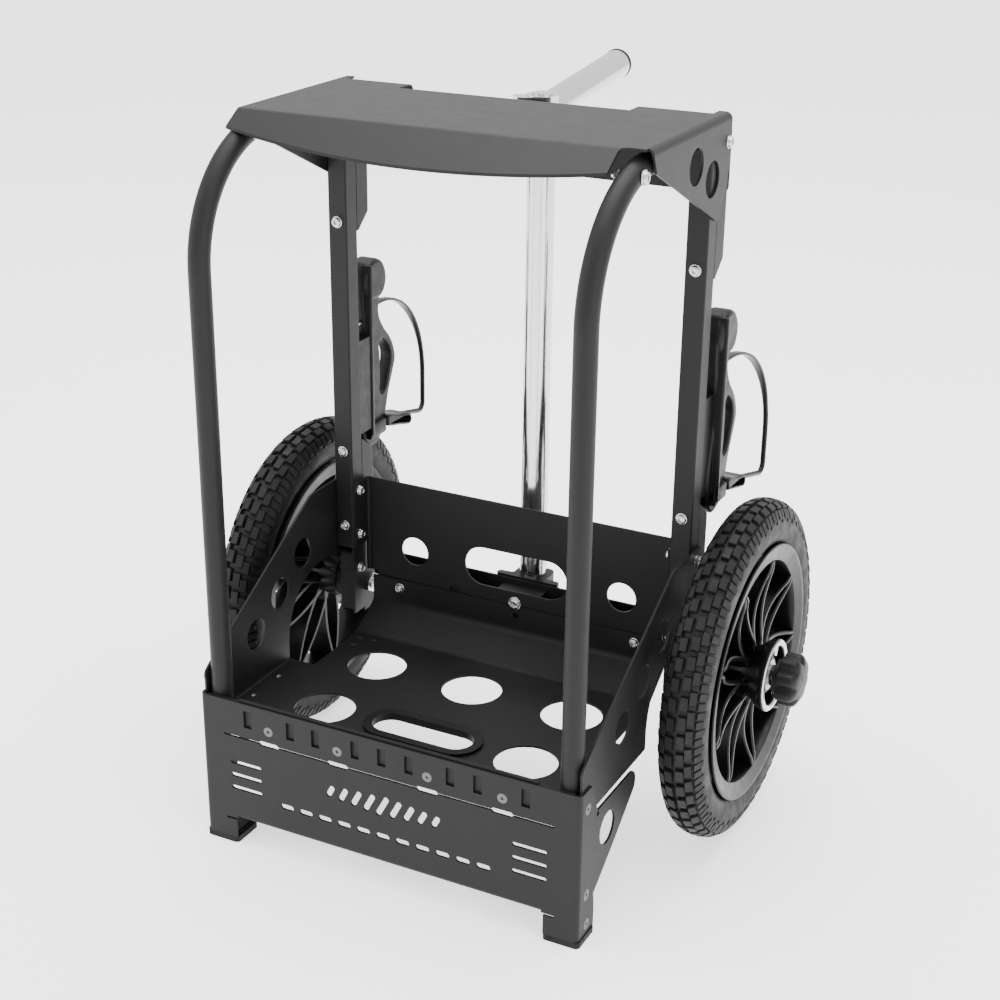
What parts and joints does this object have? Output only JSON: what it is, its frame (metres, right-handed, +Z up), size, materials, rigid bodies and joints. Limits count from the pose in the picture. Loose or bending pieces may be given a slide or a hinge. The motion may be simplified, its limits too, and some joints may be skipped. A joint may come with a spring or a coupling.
{
  "type": "field cart",
  "caption": "Wheeled walking cart with a bag tray, slotted front panel, sheet-metal seat, pull handle and bottle cages.",
  "frame": {"origin": "on the ground under the middle of the overall box", "axes": "+Z up, the front panel faces -Y, the grip points to +Y, the wheels turn about X"},
  "size_m": [0.5684, 0.454, 0.6567],
  "materials": {
    "powder_coat": "satin dark grey powder coat",
    "seat_coat": "satin dark grey powder coat with a fine texture",
    "zinc": "bright zinc plate",
    "screw_grey": "dull grey plated steel",
    "pole_metal": "bright polished",
    "tyre_rubber": "matt, ribbed block tread",
    "rim_plastic": "gloss black moulded",
    "black_plastic": "fine matt grain",
    "foot_rubber": "matt black",
    "wire_black": "gloss black coated wire",
    "bearing_steel": "ground steel"
  },
  "bodies": {
    "frame": {"tray": "powder_coat", "front_panel": "powder_coat", "foot_brackets": "powder_coat", "front_tube_left": "powder_coat", "front_tube_right": "powder_coat", "upright_left": "powder_coat", "upright_right": "powder_coat", "upper_channel_left": "powder_coat", "upper_channel_right": "powder_coat", "lower_channel_left": "powder_coat", "lower_channel_right": "powder_coat", "back_panel": "powder_coat", "rear_channel": "powder_coat", "handle_plate": "powder_coat", "axle_blocks": "powder_coat", "seat": "seat_coat", "floor_slot_trim": "black_plastic", "pole_socket": "black_plastic", "pole_clamp": "black_plastic", "pole_bush": "black_plastic", "cage_body_left": "black_plastic", "cage_body_right": "black_plastic", "cage_spacers": "black_plastic", "pole_outer": "pole_metal", "foot_pad_left": "foot_rubber", "foot_pad_right": "foot_rubber", "axle_left": "bearing_steel", "axle_right": "bearing_steel", "axle_nuts": "zinc", "axle_spacers": "zinc", "upright_bolts": "zinc", "panel_bolts": "zinc", "seat_bolts": "zinc", "tube_bolts": "zinc", "plate_bolts": "zinc", "cage_bolts": "zinc", "tray_bolts": "zinc", "front_screws": "screw_grey", "side_screws": "screw_grey", "rivets": "screw_grey"},
    "handle": {"handle_tube": "pole_metal", "handle_guide": "black_plastic", "handle_elbow": "pole_metal", "grip": "pole_metal", "grip_cap": "black_plastic"},
    "button": {"release_button": "pole_metal"},
    "wheel_left": {"tyre_left": "tyre_rubber", "rim_left": "rim_plastic", "bearings_left": "bearing_steel", "hub_ring_left": "pole_metal"},
    "knob_left": {"knob_left": "black_plastic"},
    "cage_slide_left": {"cage_foot_left": "black_plastic", "cage_bail_left": "wire_black"},
    "wheel_right": {"tyre_right": "tyre_rubber", "rim_right": "rim_plastic", "bearings_right": "bearing_steel", "hub_ring_right": "pole_metal"},
    "knob_right": {"knob_right": "black_plastic"},
    "cage_slide_right": {"cage_foot_right": "black_plastic", "cage_bail_right": "wire_black"}
  },
  "joints": [
    {"name": "handle_slide", "type": "slide", "parent": "frame", "child": "handle", "axis": [0, 0, 1], "range_m": [0, 0.4]},
    {"name": "button_press", "type": "slide", "parent": "handle", "child": "button", "axis": [0, 0, -1], "range_m": [0, 0.003], "stiffness_N_per_m": 900, "springref_m": -0.0015},
    {"name": "wheel_left_spin", "type": "hinge", "parent": "frame", "child": "wheel_left", "pos_m": [-0.223, 0.028, 0.156], "axis": [1, 0, 0], "continuous": true},
    {"name": "knob_left_turn", "type": "hinge", "parent": "frame", "child": "knob_left", "pos_m": [-0.27, 0.028, 0.156], "axis": [1, 0, 0], "continuous": true},
    {"name": "cage_left_slide", "type": "slide", "parent": "frame", "child": "cage_slide_left", "axis": [0, 1, 0], "range_m": [0, 0.012]},
    {"name": "wheel_right_spin", "type": "hinge", "parent": "frame", "child": "wheel_right", "pos_m": [0.223, 0.028, 0.156], "axis": [1, 0, 0], "continuous": true},
    {"name": "knob_right_turn", "type": "hinge", "parent": "frame", "child": "knob_right", "pos_m": [0.27, 0.028, 0.156], "axis": [1, 0, 0], "continuous": true},
    {"name": "cage_right_slide", "type": "slide", "parent": "frame", "child": "cage_slide_right", "axis": [0, 1, 0], "range_m": [0, 0.012]}
  ]
}
